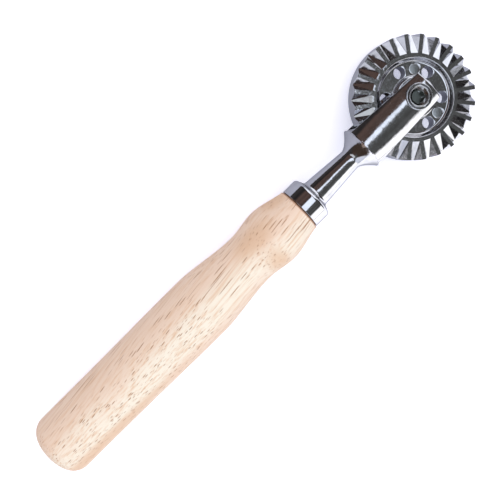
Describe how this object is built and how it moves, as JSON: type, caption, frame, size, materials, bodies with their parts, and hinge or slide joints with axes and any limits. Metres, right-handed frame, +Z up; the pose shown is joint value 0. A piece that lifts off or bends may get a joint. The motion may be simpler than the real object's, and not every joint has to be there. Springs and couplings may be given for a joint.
{
  "type": "ravioli cutter wheel",
  "caption": "Free-spinning chromed crimping and cutting wheel, ribbed on one face, in a two-cheek fork on a turned wooden handle.",
  "frame": {"origin": "under the middle of the overall box, on the surface that the handle lies on", "axes": "+X along the handle from the butt to the wheel, +Z up along the wheel's axle, with the ribbed face of the wheel up; the tool lies on its side"},
  "size_m": [0.1924, 0.042, 0.0232],
  "materials": {
    "wood": "bare pale hardwood, sanded, with short dark pores",
    "chrome": "bright drawn chrome",
    "cast_chrome": "bright chrome over a slightly grainy casting",
    "wheel_chrome": "bright chrome over a casting",
    "axle_metal": "plated, turned",
    "tang_steel": "plain turned steel"
  },
  "bodies": {
    "handle_and_fork": {"handle": "wood", "ferrule": "chrome", "tang": "tang_steel", "fork": "cast_chrome", "axle_sleeve": "axle_metal", "axle_screw": "axle_metal"},
    "wheel": {"cutter_wheel": "wheel_chrome"}
  },
  "joints": [
    {"name": "wheel_spin", "type": "hinge", "parent": "handle_and_fork", "child": "wheel", "pos_m": [0.07523, 0, 0.0116], "axis": [0, 0, 1], "continuous": true}
  ]
}
